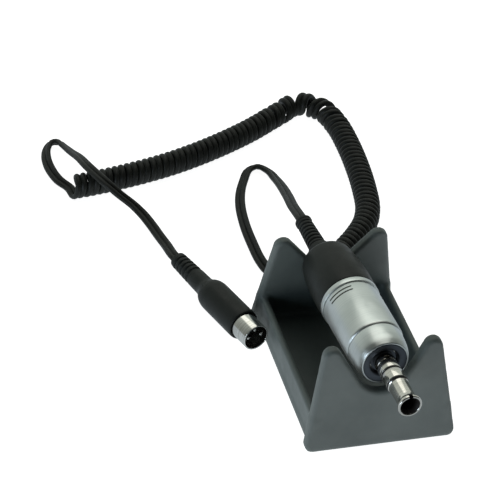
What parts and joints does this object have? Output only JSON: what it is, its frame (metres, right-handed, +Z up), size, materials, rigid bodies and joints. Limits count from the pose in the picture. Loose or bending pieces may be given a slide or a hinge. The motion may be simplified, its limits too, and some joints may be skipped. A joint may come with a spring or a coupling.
{
  "type": "dental lab micromotor",
  "caption": "Straight electric micromotor handpiece with a chrome coupling nose, lying in a notched cradle, with a curly cord and a round plug.",
  "frame": {"origin": "Middle of the cradle's flat underside, on the bench.", "axes": "+Z is up, the motor's nose points to -Y (turned 3.7 degrees towards +X), and the cord leaves towards +Y."},
  "size_m": [0.167, 0.302, 0.0535],
  "materials": {
    "grey_plastic": "matte moulded",
    "satin_aluminium": "satin",
    "chrome": "polished",
    "black_plastic": "semi-matte",
    "black_rubber": "soft matte",
    "steel": "plain",
    "magnet": "dull sintered",
    "laminations": "dull",
    "copper": "bare",
    "brass": "bare",
    "carbon": "dull",
    "wire_insulation": "plain"
  },
  "bodies": {
    "cradle": {"cradle": "grey_plastic", "cord_motor_lead": "black_rubber", "curly_cord": "black_rubber", "cord_plug_lead": "black_rubber", "plug_grip": "black_plastic", "plug_shell": "chrome", "plug_insert": "black_plastic", "plug_pin_1": "chrome", "plug_pin_2": "chrome", "plug_pin_3": "chrome"},
    "handpiece": {"body_sleeve": "satin_aluminium", "rear_ring": "satin_aluminium", "front_collar": "satin_aluminium", "rear_cap": "black_plastic", "strain_relief": "black_rubber", "nose_spigot": "chrome", "lock_ring": "chrome", "o_ring_rear": "black_rubber", "o_ring_front": "black_rubber", "yoke_tube": "steel", "magnet_1": "magnet", "magnet_2": "magnet", "front_bearing_carrier": "satin_aluminium", "front_bearing_outer_ring": "steel", "front_bearing_cage": "steel", "rear_bearing_outer_ring": "steel", "rear_bearing_cage": "steel", "rear_end_bell": "satin_aluminium", "brush_holder": "black_plastic", "end_bell_screw_1": "steel", "end_bell_screw_2": "steel", "preload_washer": "steel", "carbon_brush_1": "carbon", "carbon_brush_2": "carbon", "brush_cap_1": "brass", "brush_cap_2": "brass", "brush_spring_1": "steel", "brush_spring_2": "steel", "lead_wire_1": "wire_insulation", "lead_wire_2": "wire_insulation"},
    "rotor": {"rotor_shaft": "steel", "armature_core": "laminations", "armature_windings": "copper", "commutator": "copper", "drive_dog": "steel", "front_bearing_inner_ring": "steel", "rear_bearing_inner_ring": "steel"}
  },
  "joints": [
    {"name": "handpiece_lift", "type": "slide", "parent": "cradle", "child": "handpiece", "axis": [0, 0, 1], "range_m": [0, 0.04]},
    {"name": "rotor_spin", "type": "hinge", "parent": "handpiece", "child": "rotor", "pos_m": [-0.00124, 0, 0.0394], "axis": [0.0645, -0.9979, 0], "continuous": true}
  ]
}
